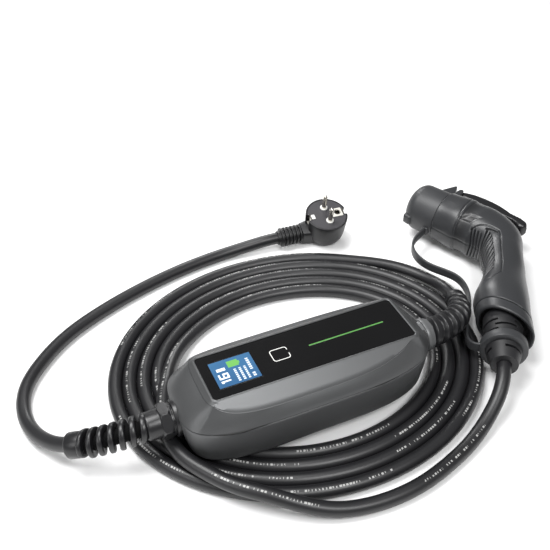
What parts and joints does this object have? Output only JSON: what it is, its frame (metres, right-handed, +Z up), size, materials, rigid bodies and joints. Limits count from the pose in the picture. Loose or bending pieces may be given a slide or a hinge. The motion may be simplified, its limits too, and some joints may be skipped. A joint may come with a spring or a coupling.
{
  "type": "portable ev charger",
  "caption": "Portable electric-vehicle charger: control box with display, supply lead with earthed mains plug, coiled charging cable and vehicle connector with latch lever and dust cap",
  "frame": {"origin": "on the floor, under the middle of the control box and connector taken together", "axes": "+X along the control box from its supply gland to its outlet, +Z up from the floor"},
  "size_m": [0.5394, 0.3526, 0.0708],
  "materials": {
    "lower_shell": "fine satin moulding",
    "upper_shell": "satin moulding with a soft metallic sheen",
    "soft_seal": "matt",
    "panel_gloss": "polished black",
    "display": "lit blue display",
    "white_print": "white",
    "light_line": "lit green",
    "board": "solder mask",
    "inner_black": "moulded",
    "copper": "wound wire",
    "screw_steel": "plated",
    "nylon": "black nylon",
    "collar_grey": "satin",
    "cable_rubber": "smooth jacket",
    "plug_rubber": "moulded",
    "nickel": "nickel plated",
    "gun_grey": "satin moulding",
    "contact_brass": "plated",
    "lever_black": "satin",
    "soft_black": "soft moulding",
    "cap_rubber": "soft moulding"
  },
  "bodies": {
    "charger": {"lower_housing": "lower_shell", "upper_housing": "upper_shell", "housing_seal": "soft_seal", "front_panel": "panel_gloss", "display_module": "display", "touch_sensor": "white_print", "status_light": "light_line", "main_board": "board", "power_relays": "inner_black", "current_sensor": "inner_black", "power_transformer": "copper", "capacitors": "inner_black", "terminal_block": "board", "board_screws": "screw_steel", "housing_screws": "screw_steel", "gland_washer": "soft_seal", "gland_body": "nylon", "gland_seal": "soft_seal", "gland_locknut": "nylon", "spiral_nut": "nylon", "outlet_collar": "collar_grey", "outlet_locknut": "nylon", "outlet_boot": "nylon", "supply_cord": "cable_rubber", "plug_body": "plug_rubber", "mains_pins": "nickel", "pin_collars": "white_print", "earth_clips": "nickel", "earth_socket": "nickel", "cable_start": "cable_rubber", "cable_coil": "cable_rubber", "cable_end": "cable_rubber", "gun_left_shell": "gun_grey", "gun_right_shell": "gun_grey", "gun_tail_ring": "gun_grey", "gun_screws": "screw_steel", "nose_housing": "gun_grey", "contact_carrier": "inner_black", "contact_sleeves": "contact_brass", "latch_pin": "screw_steel", "latch_spring": "screw_steel", "lever_pin": "screw_steel", "micro_switch": "inner_black", "strain_relief": "soft_black", "cap_strap": "cap_rubber"},
    "lever": {"release_lever": "lever_black"},
    "latch": {"latch_hook": "gun_grey"},
    "cap": {"dust_cap": "cap_rubber"}
  },
  "joints": [
    {"name": "lever_press", "type": "hinge", "parent": "charger", "child": "lever", "pos_m": [0.2218, 0.10788, 0.029], "axis": [0, 0, -1], "range_deg": [0, 4.5], "stiffness_Nm_per_rad": 0.6, "deforming": ["latch_spring"]},
    {"name": "latch_tilt", "type": "hinge", "parent": "charger", "child": "latch", "pos_m": [0.21851, 0.09182, 0.029], "axis": [0, 0, 1], "range_deg": [0, 4]},
    {"name": "cap_pull", "type": "slide", "parent": "charger", "child": "cap", "axis": [-0.4384, 0.8988, 0], "range_m": [0, 0.042], "deforming": ["cap_strap"]}
  ],
  "couplings": [
    {"joint": "latch_tilt", "follows": "lever_press", "ratio": 0.888}
  ]
}
